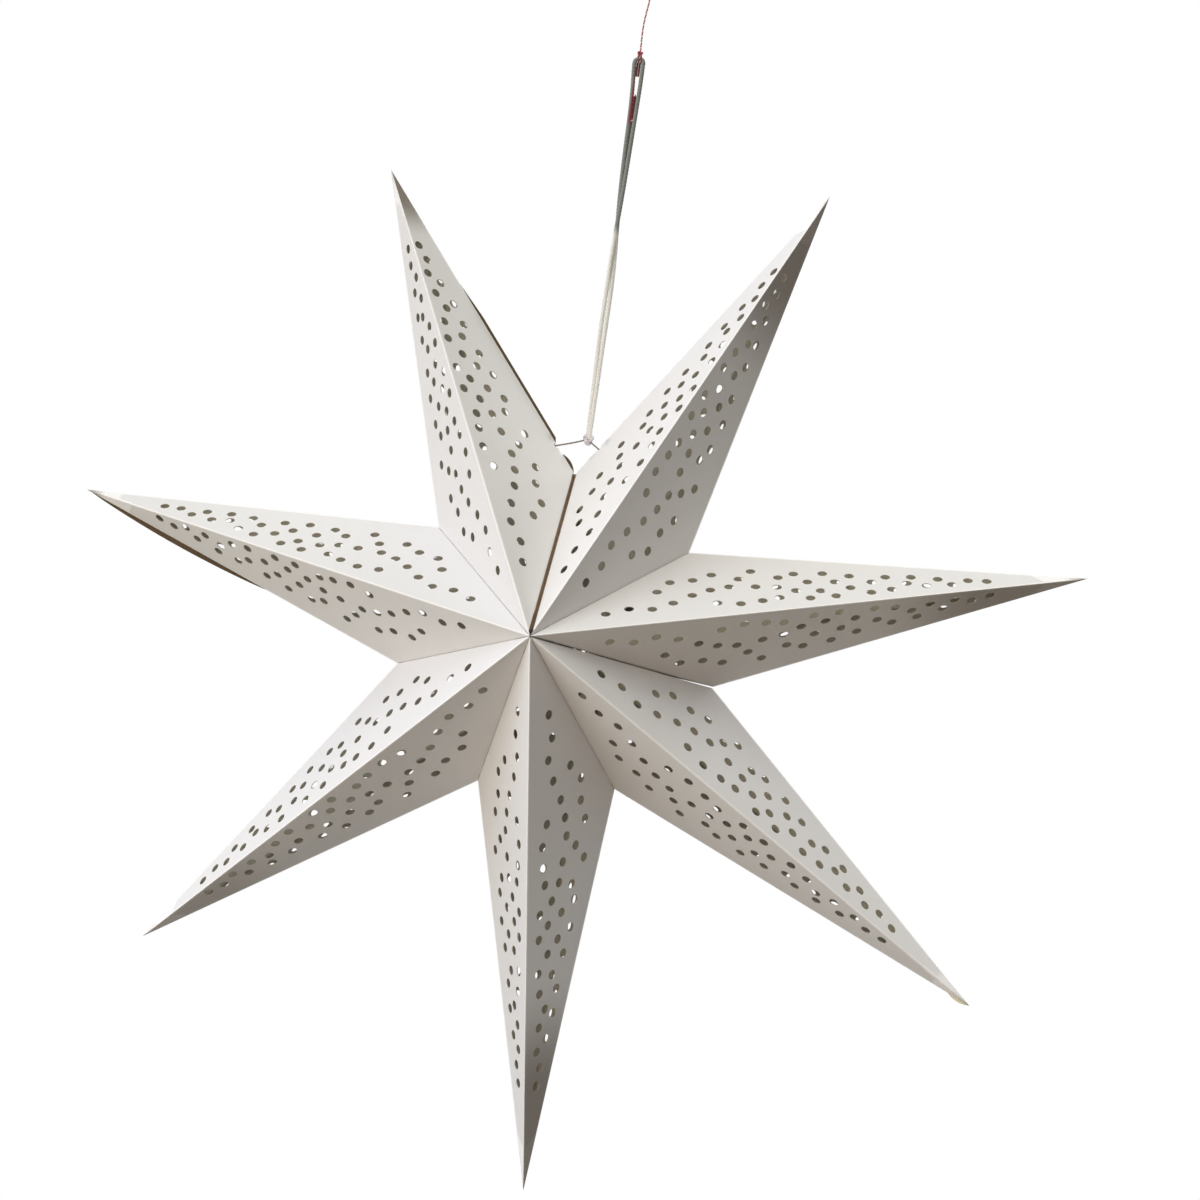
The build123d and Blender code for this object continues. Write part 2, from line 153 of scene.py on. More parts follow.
# Points of two panels are one where they agree to a ten-thousandth of a millimetre
weld = 1e4


def around(reach, angle):
    """In the plane of the tips: reach times sine and cosine of an angle clockwise from straight up."""
    angle = np.radians(angle)
    return np.stack([reach * np.sin(angle), 0 * angle, centre_z + reach * np.cos(angle)], -1)


steps = np.arange(point_count)
pitch = 360 / point_count
tips = around(star_reach + tip_stretch, star_turn + (steps - 0.5) * pitch + tip_turn)
valleys = around(valley_reach + valley_stretch, star_turn + steps * pitch + valley_turn)
apex = np.array((0.0, -half_depth, centre_z - apex_drop))


def unit(vectors):
    """Vectors divided by their lengths."""
    return vectors / np.linalg.norm(vectors, axis=-1, keepdims=True)


def facing(vector, toward):
    """The vector, turned round where it points away from another."""
    return vector if vector @ toward > 0 else -vector


# Mesh making


def new_piece(name, points, faces, body, materials, face_slots=None, smooth=True, uv=None):
    """A mesh from points in metres and faces as rows of point numbers, riding on a body."""
    mesh = bpy.data.meshes.new(name)
    mesh.from_pydata(np.asarray(points).tolist(), [], [list(face) for face in faces])
    for material in materials:
        mesh.materials.append(material)
    if face_slots is not None:
        mesh.polygons.foreach_set("material_index", np.asarray(face_slots, np.int32))
    mesh.polygons.foreach_set("use_smooth", np.full(len(mesh.polygons), smooth))
    if uv is not None:
        corners = np.zeros(len(mesh.loops), np.int32)
        mesh.loops.foreach_get("vertex_index", corners)
        layer = mesh.uv_layers.new(name="along")
        layer.data.foreach_set("uv", np.asarray(uv, np.float32)[corners].ravel())
    mesh.update()
    piece = in_scene(name, mesh)
    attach(piece, body)
    return piece


def point_value(piece, name, values):
    """One number at each point of a mesh, for its material to read."""
    layer = piece.data.attributes.new(name, "FLOAT", "POINT")
    layer.data.foreach_set("value", np.asarray(values, np.float32))


def grid_faces(rows, columns, closed_rows=False, closed_columns=False):
    """Quads of a grid of points numbered row by row."""
    row = np.arange(rows if closed_rows else rows - 1)
    column = np.arange(columns if closed_columns else columns - 1)
    i, j = np.meshgrid(row, column, indexing="ij")
    below = (i + 1) % rows
    right = (j + 1) % columns
    quads = [i * columns + j, i * columns + right, below * columns + right, below * columns + j]
    return np.stack(quads, -1).reshape(-1, 4)


# Folded sheets of card


def panel_outline(start, side_start, notch):
    """The edge parameters of a panel: shares along the ridge, and along the side crease from the valley."""
    ridge = np.concatenate([[start], np.linspace(edge_start, 1, ridge_steps)])
    side = np.concatenate([[side_start], np.linspace(edge_start, 1, side_steps)])
    if notch is not None:
        low, high = notch
        side = side[(side < low - notch_clear) | (side > high + notch_clear)]
        side = np.sort(np.concatenate([side, notch]))
    return ridge, side


def inset_triangle(corners, inset):
    """The triangle with each side moved in by the inset: each corner goes along its bisector."""
    after = np.roll(corners, -1, axis=0)
    before = np.roll(corners, 1, axis=0)
    one = unit(after - corners)
    two = unit(before - corners)
    half_angle = np.arccos(np.clip((one * two).sum(-1), -1, 1)) / 2
    return corners + unit(one + two) * (inset / np.sin(half_angle))[:, None]


def side_notch(crease, ridge, across):
    """The half-round hole in a side crease, in the panel's plane: middle, run, way in and depth."""
    run = unit(crease[1] - crease[0])
    inward = facing(np.array((run[1], -run[0])), -crease[0])
    in_space = ridge * inward[0] + across * inward[1]
    return crease[0] + run * tie_out, run, inward, tie_hole / 2 / abs(in_space[1])


def edge_row(corners, notch_shape):
    """A row of points a little inside the edge, clear of the notch, and the pairs that it joins."""
    small = inset_triangle(corners, fold_row)
    row = np.concatenate([
        a + (b - a) * np.linspace(0, 1, count, endpoint=False)[:, None]
        for a, b, count in zip(small, np.roll(small, -1, axis=0), row_steps)
    ])
    kept = np.ones(len(row), bool)
    if notch_shape is not None:
        middle, run, inward, deep = notch_shape
        kept = np.abs((row - middle) @ run) > tie_hole
        kept |= (row - middle) @ inward > 3 * deep
    after = np.roll(np.arange(len(row)), -1)
    both = kept & kept[after]
    place = np.cumsum(kept) - 1
    return row[kept], np.stack([place[both], place[after[both]]], -1)


def loose_points(corners, punched):
    """Points between the holes, in staggered rows, where the card bows."""
    low, high = corners.min(0), corners.max(0)
    grid = np.stack(
        np.meshgrid(np.arange(low[0], high[0], mesh_step), np.arange(low[1], high[1], mesh_step)), -1
    ).reshape(-1, 2)
    grid[:, 0] += (np.round(grid[:, 1] / mesh_step) % 2) * mesh_step / 2
    grid = grid[inside(grid, inset_triangle(corners, loose_inset))]
    clear = np.linalg.norm(grid[:, None] - punched, axis=-1).min(1)
    return grid[clear > hole_diameter / 2 + hole_clear]


def cut_triangles(points, edges, corners, punched, notch_shape):
    """Triangles between the edges, without those of a hole or the notch, and their areas."""
    cut = delaunay_2d_cdt([Vector(point) for point in points.tolist()], edges, [], 0, cut_tolerance)
    source = np.array([origin[0] for origin in cut[3]])
    triangles = source[np.array(cut[2])]
    middles = points[triangles].mean(1)
    keep = inside(middles, corners)
    clear = np.linalg.norm(middles[:, None] - punched, axis=-1).min(1)
    keep &= clear > hole_diameter / 2 * hole_share
    if notch_shape is not None:
        middle, run, inward, deep = notch_shape
        away = middles - middle
        keep &= (away @ run / (tie_hole / 2)) ** 2 + (away @ inward / deep) ** 2 > notch_share
    triangles = triangles[keep]
    a, b, c = (points[triangles[:, i]] for i in range(3))
    area = (b[:, 0] - a[:, 0]) * (c[:, 1] - a[:, 1]) - (b[:, 1] - a[:, 1]) * (c[:, 0] - a[:, 0])
    real = np.abs(area) > least_area
    return triangles[real], area[real]


def glue_tab(placed, outline, base, valley_run, tab_out):
    """A slanted strip folded in along the valley: base + share * (inward * width + along * run * slant)."""
    at_edge = np.argmin(np.abs(outline[:, None] - base).sum(-1), axis=0)
    inward = facing(unit(np.cross(tab_out, valley_run)), np.array((0, 1, 0)))
    shares = np.linspace(0, 1, tab_rows)[1:]
    along = np.linspace(1, -1, len(base))
    slant = along[:, None] * unit(valley_run) * tab_slant
    strip = (base + shares[:, None, None] * (inward * tab_width + slant)).reshape(-1, 3)
    numbers = np.concatenate([at_edge, len(placed) + np.arange(len(strip))])
    quads = numbers[grid_faces(tab_rows, len(base))]
    a, b, d = (np.concatenate([placed, strip])[quads[0, i]] for i in (0, 1, 3))
    if np.cross(b - a, d - a) @ tab_out < 0:
        quads = quads[:, ::-1]
    return strip, np.concatenate([quads[:, [0, 1, 2]], quads[:, [0, 2, 3]]])


def front_panel(tip, valley, others_start, start, side_start, notch, normals, bow, punched):
    """
    One flat panel with its punched holes, as points in a plane that are then set in place.
    A point stands at apex + along * ridge + across * side + out * bow, where bow is 27 times
    the product of its three shares of the corners, times the bow's height.
    """
    out, ridge_out, side_out, tab_out = normals
    ridge = unit(tip - apex)
    across = facing(unit(np.cross(out, ridge)), valley - apex)

    def flat(points):
        return np.stack([(points - apex) @ ridge, (points - apex) @ across], -1)

    first = apex + (tip - apex) * start
    last = valley + (tip - valley) * side_start
    ridge_shares, side_shares = panel_outline(start, side_start, notch)
    if others_start > start:
        ridge_shares = np.sort(np.append(ridge_shares, others_start))
    ridge_line = apex + (tip - apex) * ridge_shares[:, None]
    side_line = valley + (tip - valley) * side_shares[::-1, None]
    valley_length = np.linalg.norm(last - first)
    tab_ends = np.array((tab_start, valley_length - tab_slant / 2)) / valley_length
    valley_shares = np.concatenate([[0, tab_ends[0] / 2], np.linspace(*tab_ends, tab_steps), [1]])
    valley_line = first + (last - first) * valley_shares[:, None]

    # Outline: up the ridge, down the side crease, and back along the valley
    outline = [ridge_line, side_line[1:], valley_line[::-1][1:-1]]
    kinds = np.concatenate([np.full(len(part), kind) for kind, part in enumerate(outline)])
    outline = np.concatenate(outline)
    loop = flat(outline)
    notch_shape = None
    if notch is not None:
        notch_shape = side_notch(flat(np.stack([valley, tip])), ridge, across)
        middle, run, inward, deep = notch_shape
        turn = np.linspace(0, np.pi, notch_steps)[1:-1]
        bend = middle + np.outer(np.cos(turn), run) * tie_hole / 2 + np.outer(np.sin(turn), inward) * deep
        high = int(np.argmin(np.linalg.norm(loop - (middle + run * tie_hole / 2), axis=1)))
        placed_bend = apex + bend[:, :1] * ridge + bend[:, 1:] * across
        loop = np.insert(loop, high + 1, bend, axis=0)
        outline = np.insert(outline, high + 1, placed_bend, axis=0)
        kinds = np.insert(kinds, high + 1, np.full(len(bend), 3))
    edge_count = len(outline)

    corners = flat(np.stack([first, tip, last]))
    row, row_edges = edge_row(corners, notch_shape)
    turn = np.linspace(0, 2 * np.pi, hole_steps, endpoint=False)
    ring = np.stack([np.cos(turn), np.sin(turn)], -1) * hole_diameter / 2
    rings = (punched[:, None] + ring).reshape(-1, 2)
    points = np.concatenate([loop, row, rings, loose_points(corners, punched)])
    edges = ring_edges(0, edge_count) + (row_edges + edge_count).tolist()
    begin = edge_count + len(row)
    for hole in range(len(punched)):
        edges += ring_edges(begin + hole * hole_steps, hole_steps)
    triangles, area = cut_triangles(points, edges, corners, punched, notch_shape)
    turned = (area > 0) != (np.cross(ridge, across) @ out > 0)
    triangles[turned] = triangles[turned][:, ::-1]

    shares = corner_shares(points, corners)
    swell = 27 * shares.prod(-1) * bow
    placed = apex + points[:, :1] * ridge + points[:, 1:] * across + np.outer(swell, out)
    placed[:edge_count] = outline

    # The inner face: set in by the card, and along the fold's bisector at each crease
    inner = placed - out * card
    for kind, other in ((0, ridge_out), (1, side_out), (2, tab_out)):
        at = np.flatnonzero(kinds == kind)
        inner[at] = placed[at] - card * (out + other) / (1 + out @ other)
    valley_at = int(np.argmin(np.linalg.norm(outline - last, axis=1)))
    inner[valley_at] = placed[valley_at] - card * (out + side_out) / (1 + out @ side_out)
    inner[0] = placed[0] - card * (out + ridge_out) / (1 + out @ ridge_out)
    to_tip = np.linalg.norm(placed - tip, axis=1)
    inner = placed + (inner - placed) * np.clip(to_tip / tip_taper, tip_thin, 1)[:, None]
    inner[len(ridge_line) - 1] = tip + unit(apex - tip) * np.array((1, 0, 1)) * card

    # How far each point is from the nearest fold, for the paler fold line of wear and painted highlight:
    # its heights over the ridge and the crease
    opposite = np.linalg.norm(np.roll(corners, -1, axis=0) - np.roll(corners, 1, axis=0), axis=-1)
    height = shares * 2 * triangle_area(corners) / opposite
    fold = np.minimum(height[:, 2], height[:, 0])

    strip, tab_faces = glue_tab(placed, outline, valley_line[2:-1], last - first, tab_out)
    placed = np.concatenate([placed, strip])
    inner = np.concatenate([inner, strip - tab_out * card])
    fold = np.concatenate([fold, np.full(len(strip), far_from_fold)])
    return placed, inner, np.concatenate([triangles, tab_faces]), fold


def ring_edges(begin, count):
    """Pairs of neighbours round a closed ring of points."""
    here = np.arange(count)
    return np.stack([begin + here, begin + (here + 1) % count], -1).tolist()


def triangle_area(corners):
    """Half the cross product of two sides."""
    one, two = corners[1] - corners[0], corners[2] - corners[0]
    return abs(one[0] * two[1] - one[1] * two[0]) / 2


def corner_shares(points, corners):
    """Each point's shares of the three corners, which add up to one."""
    table = np.vstack([corners.T, np.ones(3)])
    return np.linalg.solve(table, np.vstack([points.T, np.ones(len(points))])).T


def inside(points, corners):
    """Whether each point lies in a triangle: none of its shares is below nought."""
    return corner_shares(points, corners).min(-1) > -1e-6


def outward(tip, valley):
    """The unit normal of a front panel, out of the star."""
    return facing(unit(np.cross(tip - apex, valley - apex)), np.array((0, -1, 0)))


def valley_side(tip, valley):
    """The unit normal of the plane through the axis and a valley, on the tip's side."""
    return facing(unit(np.cross(valley - apex, (0, 1, 0))), tip - apex)


def star_panels(k):
    """A point's two front panels and the two that its back mirrors, each pair with the same bow."""
    tip = tips[k]
    ends = [(valleys[k - 1], valley_gap[k - 1]), (valleys[k], valley_gap[k])]
    outs = [outward(tip, valley) for valley, gap in ends]
    sides = [valley_side(tip, valley) for valley, gap in ends]
    starts = [gap / ((tip - apex) @ side) for (valley, gap), side in zip(ends, sides)]
    fronts, backs = [], []
    for i, (valley, gap) in enumerate(ends):
        side_start = gap / ((tip - valley) @ sides[i])
        notch = None
        if (k, i) in ((0, 1), (1, 0)):
            length = np.linalg.norm(tip - valley)
            notch = ((tie_out - tie_hole / 2) / length, (tie_out + tie_hole / 2) / length)
        normals = (outs[i], outs[1 - i], outs[i] * (1, -1, 1), -sides[i])
        bow = bow_mean + bow_spread * random.standard_normal()
        shape = (tip, valley, starts[1 - i], starts[i], side_start, notch, normals, bow)
        punched = hole_places * pattern_share + pattern_slip[k, i]
        fronts.append(front_panel(*shape, punched))
        backs.append(front_panel(*shape, punched + back_slip))
    return fronts, backs


def star_point(k, materials):
    """A folded sheet: front and back panels with tabs, closed by an inner face and cut edges."""
    fronts, backs = star_panels(k)
    outer, inner, faces, fold, painted_shade = [], [], [], [], []
    total = 0
    for mirror, parts in ((1, fronts), (-1, backs)):
        for i, (placed, within, triangles, folds) in enumerate(parts):
            # Painted shade: each panel goes darker and browner toward its tip
            reach, strength = painted_tip_shade.get((k, i), plain_painted_tip_shade)
            to_tip = np.linalg.norm(placed - tips[k], axis=1)
            near = np.clip((reach - to_tip) / (painted_shade_fade * reach), 0, 1)
            painted_shade.append(strength * near * near * (3 - 2 * near))
            outer.append(placed * (1, mirror, 1))
            inner.append(within * (1, mirror, 1))
            faces.append(triangles[:, ::mirror] + total)
            fold.append(folds)
            total += len(placed)
    outer, inner, faces, fold, painted_shade = map(np.concatenate, (outer, inner, faces, fold, painted_shade))

    # Points that two panels share become one
    keys = np.round(outer * weld).astype(np.int64)
    kept, first, number = np.unique(keys, axis=0, return_index=True, return_inverse=True)
    outer, inner, fold, painted_shade = outer[first], inner[first], fold[first], painted_shade[first]
    faces = number.ravel()[faces]
    faces = faces[(faces != np.roll(faces, -1, axis=1)).all(1)]

    # Free edges are those with one face, and get a strip of cut card
    pairs = np.concatenate([faces[:, [0, 1]], faces[:, [1, 2]], faces[:, [2, 0]]])
    codes = pairs.min(1) * len(outer) + pairs.max(1)
    values, counts = np.unique(codes, return_counts=True)
    free = pairs[np.isin(codes, values[counts == 1])]
    below = len(outer)
    rim = np.stack([free[:, 1], free[:, 0], free[:, 0] + below, free[:, 1] + below], -1)
    all_faces = [*faces.tolist(), *(faces[:, ::-1] + below).tolist(), *rim.tolist()]
    kinds = np.repeat((0, 1, 2), (len(faces), len(faces), len(rim)))
    points = np.concatenate([outer, inner]) * MM
    name = f"folded_point_{k + 1}"
    piece = new_piece(name, points, all_faces, "star", materials, kinds)
    point_value(piece, "fold", np.tile(fold, 2))
    point_value(piece, "painted_shade", np.tile(painted_shade, 2))
    mark_sharp(piece, len(faces))
    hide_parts(f"point_{k + 1}")


def mark_sharp(piece, face_count):
    """Cut edges stay crisp: an edge of one rim face is sharp. The rim follows both layers of triangles."""
    mesh = piece.data
    loops = np.zeros(len(mesh.loops), np.int32)
    mesh.loops.foreach_get("edge_index", loops)
    rim_loops = loops[2 * 3 * face_count:]
    counts = np.bincount(rim_loops, minlength=len(mesh.edges))
    layer = mesh.attributes.new("sharp_edge", "BOOLEAN", "EDGE")
    layer.data.foreach_set("value", counts == 1)


# Materials


class Shader:
    """Adds nodes to one tree and joins them by the names of their sockets."""

    def __init__(self, tree):
        self.tree = tree

    def put(self, value, socket):
        """Links a socket to a value, or sets it where the value is a plain one. A colour is opaque."""
        if isinstance(value, bpy.types.NodeSocket):
            self.tree.links.new(value, socket)
        else:
            socket.default_value = (*value, 1.0) if socket.type == "RGBA" else value

    def add(self, kind, inputs=None, **settings):
        made = self.tree.nodes.new("ShaderNode" + kind)
        for name, value in settings.items():
            setattr(made, name, value)
        for name, value in (inputs or {}).items():
            self.put(value, made.inputs[name])
        return made

    def maths(self, operation, one, two=0.5):
        return self.add("Math", {0: one, 1: two}, operation=operation).outputs[0]

    def noise(self, vector, scale, detail=3.0, roughness=0.55):
        inputs = {"Vector": vector, "Scale": scale, "Detail": detail, "Roughness": roughness}
        return self.add("TexNoise", inputs).outputs["Fac"]

    def span(self, value, low, high, to_low=0.0, to_high=1.0):
        inputs = {"Value": value, "From Min": low, "From Max": high, "To Min": to_low, "To Max": to_high}
        return self.add("MapRange", inputs).outputs["Result"]

    def mix(self, share, one, two):
        return self.add("Mix", {0: share, 6: one, 7: two}, data_type="RGBA").outputs[2]

    def bump(self, height, depth):
        inputs = {"Height": height, "Distance": depth, "Strength": 1.0}
        return self.add("Bump", inputs).outputs["Normal"]

    def group(self, name, inputs):
        return self.add("Group", inputs, node_tree=groups[name]).outputs


def darker(tint, share):
    """A share of a colour."""
    return [share * part for part in tint]


def new_group(name, inputs, outputs):
    """A node group with named sockets, and the shader helper for its tree."""
    tree = bpy.data.node_groups.new(name, "ShaderNodeTree")
    for way, labels in (("INPUT", inputs), ("OUTPUT", outputs)):
        for label in labels:
            kind = "NodeSocketVector" if label == "Vector" else "NodeSocketFloat"
            tree.interface.new_socket(label, in_out=way, socket_type=kind)
    source = tree.nodes.new("NodeGroupInput")
    target = tree.nodes.new("NodeGroupOutput")
    return Shader(tree), source.outputs, target.inputs


def fibres_group():
    """Paper fibres: fine noise stretched two ways for the height, and broad noise for the tone."""
    s, given, out = new_group("paper fibres", ("Vector", "Scale"), ("Height", "Tone", "Flecks"))
    fine = s.noise(given["Vector"], given["Scale"], 5.0, 0.6)
    stretched = s.add("Mapping", {"Vector": given["Vector"], "Scale": (1.0, 0.25, 0.4)}).outputs[0]
    hairs = s.noise(stretched, given["Scale"], 3.0, 0.5)
    height = s.maths("ADD", fine, hairs)
    s.put(height, out["Height"])
    broad_scale = s.maths("MULTIPLY", given["Scale"], 0.02)
    s.put(s.noise(given["Vector"], broad_scale, 2.0), out["Tone"])
    s.put(s.span(hairs, 0.56, 0.68), out["Flecks"])
    return s.tree


def strands_group():
    """Spun fibres of a cord: bands at a slant round it, from its own along and around values."""
    s, given, out = new_group("spun strands", ("Vector", "Twist", "Count"), ("Height", "Tone"))
    parts = s.add("SeparateXYZ", {0: given["Vector"]}).outputs
    slant = s.maths("MULTIPLY", parts["X"], given["Twist"])
    turn = s.maths("MULTIPLY", parts["Y"], given["Count"])
    wave = s.maths("SINE", s.maths("ADD", slant, turn))
    noise = s.noise(given["Vector"], 30.0, 4.0)
    s.put(s.maths("ADD", s.span(wave, -1, 1), noise), out["Height"])
    s.put(noise, out["Tone"])
    return s.tree


def grain_group():
    """Moulded grain: small rounded cells for the height, and a faint cloud for the roughness."""
    s, given, out = new_group("moulded grain", ("Vector", "Scale"), ("Height", "Cloud"))
    inputs = {"Vector": given["Vector"], "Scale": given["Scale"]}
    cells = s.add("TexVoronoi", inputs, feature="SMOOTH_F1").outputs["Distance"]
    s.put(cells, out["Height"])
    s.put(s.noise(given["Vector"], s.maths("MULTIPLY", given["Scale"], 0.05)), out["Cloud"])
    return s.tree


groups = {"fibres": fibres_group(), "strands": strands_group(), "grain": grain_group()}


class Finish(Shader):
    """A material's nodes: its shader and output, and the coordinates of the piece."""

    def __init__(self, name):
        self.material = bpy.data.materials.new(name)
        self.material.use_nodes = True
        super().__init__(self.material.node_tree)
        self.tree.nodes.clear()
        self.shader = self.add("BsdfPrincipled")
        self.output = self.add("OutputMaterial").inputs[0]
        self.put(self.shader.outputs[0], self.output)
        self.where = self.add("TexCoord").outputs

    def join(self, **links):
        """Joins values to the shader's sockets, with _ for a space, and returns the material."""
        for label, value in links.items():
            self.put(value, self.shader.inputs[label.replace("_", " ")])
        return self.material


def white_card():
    """Smooth coated card: faint fibres, a paler fold line of wear and painted highlight, and painted shade
    at the tips.
    """
    s = Finish("white card")
    paper = s.group("fibres", {"Vector": s.where["Object"], "Scale": 700.0})
    base = s.mix(paper["Tone"], (0.80, 0.80, 0.81), (0.755, 0.755, 0.765))
    fold = s.add("Attribute", attribute_name="fold").outputs["Fac"]
    # Paler near the folds: partly worn card, partly painted highlight along the crease
    line = s.span(fold, *fold_line_wear_and_highlight, 1.0, 0.0)
    base = s.mix(line, base, (0.97, 0.97, 0.98))
    # Painted shade: the card darkens to brown toward some tips
    painted_shade = s.add("Attribute", attribute_name="painted_shade").outputs["Fac"]
    base = s.mix(painted_shade, base, (0.16, 0.12, 0.085))
    rough = s.span(paper["Height"], 0.6, 1.4, 0.55, 0.75)
    s.join(Base_Color=base, Roughness=rough, Normal=s.bump(paper["Height"], 0.00003))
    return s.join(Specular_IOR_Level=0.35)


def kraft(name, light, dark, scale=500.0, **more):
    """Plain brown paper or board: visible fibres and darker flecks."""
    s = Finish(name)
    paper = s.group("fibres", {"Vector": s.where["Object"], "Scale": scale})
    base = s.mix(paper["Tone"], light, dark)
    base = s.mix(s.maths("MULTIPLY", paper["Flecks"], 0.45), base, darker(dark, 0.5))
    s.join(Base_Color=base, Roughness=0.88, Normal=s.bump(paper["Height"], 0.00006))
    return s.join(Specular_IOR_Level=0.25, **more)


def cut_edge():
    """Cut card: pale layers over brown ones."""
    s = Finish("cut card")
    paper = s.group("fibres", {"Vector": s.where["Object"], "Scale": 1500.0})
    base = s.mix(paper["Tone"], (0.62, 0.58, 0.50), (0.42, 0.35, 0.25))
    return s.join(Base_Color=base, Roughness=0.9, Normal=s.bump(paper["Height"], 0.00004))


# The strands drawn on cords: their twist a millimetre, and the heights where the tape turns grey, in metres
full_turn = 2 * np.pi
strand_twist = 3.0
tape_twist = 2.6
tape_turns_grey = (-0.166, -0.160)


def cord_material(name, light, dark, strands=3):
    """Spun or woven cord, with its strands drawn from its own along and around values."""
    s = Finish(name)
    inputs = {"Vector": s.where["UV"], "Twist": strand_twist, "Count": strands * full_turn}
    spun = s.group("strands", inputs)
    # Painted shade: the cord takes its dark tone in the grooves between strands and its light tone on them
    base = s.mix(s.span(spun["Height"], 0.4, 1.5), dark, light)
    s.join(Base_Color=base, Roughness=0.9, Normal=s.bump(spun["Height"], 0.00008))
    return s.join(Sheen_Weight=0.3, Sheen_Roughness=0.5)


def tape_material():
    """The hanging tape: pale below, grey-green above, and stained red where the thread runs inside it."""
    s = Finish("woven tape")
    spun = s.group("strands", {"Vector": s.where["UV"], "Twist": tape_twist, "Count": 4 * full_turn})
    height = s.add("SeparateXYZ", {0: s.where["Object"]}).outputs["Z"]
    upper = s.span(height, *tape_turns_grey)
    pale = s.mix(spun["Tone"], (0.90, 0.91, 0.88), (0.80, 0.81, 0.77))
    grey = s.mix(spun["Tone"], (0.28, 0.31, 0.29), (0.19, 0.21, 0.20))
    base = s.mix(upper, pale, grey)
    red = s.add("Attribute", attribute_name="lining").outputs["Fac"]
    base = s.mix(red, base, (0.30, 0.05, 0.065))
    # Painted shade: the tape goes a little darker in the grooves of its braid
    painted_shade = s.span(spun["Height"], 0.3, 1.5, 0.7, 1.0)
    base = s.mix(painted_shade, s.mix(0.5, base, (0, 0, 0)), base)
    s.join(Base_Color=base, Roughness=0.92, Normal=s.bump(spun["Height"], 0.00012))
    return s.join(Sheen_Weight=0.25)


def plastic(name, light, dark, scale, roughness, **more):
    """Moulded plastic: fine grain, and gloss that varies a little."""
    s = Finish(name)
    grain = s.group("grain", {"Vector": s.where["Object"], "Scale": scale})
    base = s.mix(grain["Cloud"], light, dark)
    rough = s.span(grain["Cloud"], 0.3, 0.7, roughness - 0.06, roughness + 0.06)
    return s.join(Base_Color=base, Roughness=rough, Normal=s.bump(grain["Height"], 0.00002), **more)


def metal(name, base, roughness, stretch):
    """Drawn or plated metal: fine lines along one axis."""
    s = Finish(name)
    vector = s.add("Mapping", {"Vector": s.where["Object"], "Scale": stretch}).outputs[0]
    lines = s.noise(vector, 900.0, 4.0)
    tone = s.mix(lines, base, darker(base, 0.8))
    rough = s.span(lines, 0.3, 0.7, roughness - 0.08, roughness + 0.08)
    return s.join(Base_Color=tone, Metallic=1.0, Roughness=rough, Normal=s.bump(lines, 0.00001))


card_material = white_card()
# The card is thin enough to let a little daylight through to its inside
inside_material = kraft(
    "brown inside", (0.38, 0.355, 0.30), (0.29, 0.27, 0.225),
    Subsurface_Weight=0.55, Subsurface_Radius=(1.0, 0.95, 0.85), Subsurface_Scale=0.004,
)
# Painted shade: the card's brown inside, much darker than it is in the light
shaded_lap_material = kraft("brown lap in painted shade", (0.13, 0.092, 0.052), (0.085, 0.06, 0.034))
pale_lap = kraft("pale lap", (0.78, 0.74, 0.54), (0.70, 0.66, 0.46))
edge_material = cut_edge()
for k in range(point_count):
    star_point(k, [card_material, inside_material, edge_material])


# Side laps: the back of the card stands out past the side crease and shows its brown inside, darkened with
# painted shade on three of them

lap_rows = 40
lap_columns = 3
lap_lift = 0.25
lens_power = 0.7
strip_ends = (0.02, 0.25)
least_share = 0.001
least_width = 0.03


def side_lap(name, k, valley, low, high, width, shape, finish):
    """A strip along a side crease, in the plane of the tips: width times a shape of the share along it."""
    end = valleys[valley]
    crease = tips[k] - end
    run = unit(crease)
    out = facing(np.array((run[2], 0, -run[0])), end + run * tie_out - np.array((0, 0, centre_z)))
    share = np.linspace(0, 1, lap_rows)
    line = end + crease * (low + (high - low) * share)[:, None]
    beside = (width * shape(share))[:, None] * np.linspace(0, 1, lap_columns) - lap_lift
    face = line[:, None] + out * beside[..., None] + np.array((0, lap_lift, 0))
    face = face.reshape(-1, 3)
    back = face + np.array((0, card, 0))
    count = len(face)
    faces = grid_faces(lap_rows, lap_columns)
    number = np.arange(count).reshape(lap_rows, lap_columns)
    ring = np.concatenate([number[:, 0], number[-1, 1:-1], number[::-1, -1], number[0, -2:0:-1]])
    wall = np.stack([ring, np.roll(ring, -1), np.roll(ring, -1) + count, ring + count], -1)
    a, b, d = (face[faces[0, i]] for i in (0, 1, 3))
    if np.cross(b - a, d - a)[1] > 0:
        faces = faces[:, ::-1]
    else:
        wall = wall[:, ::-1]
    return new_piece(
        name, np.concatenate([face, back]) * MM, np.concatenate([faces, faces[:, ::-1] + count, wall]),
        "star", [finish, card_material, edge_material],
        np.repeat((0, 1, 2), (len(faces), len(faces), len(wall))), smooth=False,
    )


def lens(share):
    """A shape that is widest in the middle: a power of the sine."""
    return np.sin(np.pi * np.clip(share, least_share, 1 - least_share)) ** lens_power


def strip(share):
    """A shape of even width that comes in quickly at its foot and slowly at its head."""
    foot, head = strip_ends
    return np.clip(np.minimum(share / foot, (1 - share) / head), least_width, 1)


# Each lap's point and valley, where it begins and ends as shares of the crease, its width and its shape
side_lap("lap_1", 0, 0, 0.100, 0.640, 1.8, strip, shaded_lap_material)
side_lap("lap_2", 0, 0, 0.006, 0.066, 2.0, lens, shaded_lap_material)
side_lap("lap_3", 6, 5, 0.410, 0.990, 3.2, lens, shaded_lap_material)
side_lap("lap_4", 3, 3, 0.940, 0.998, 1.8, lens, pale_lap)


# Cords

curve_steps = 24
curve_order = 3


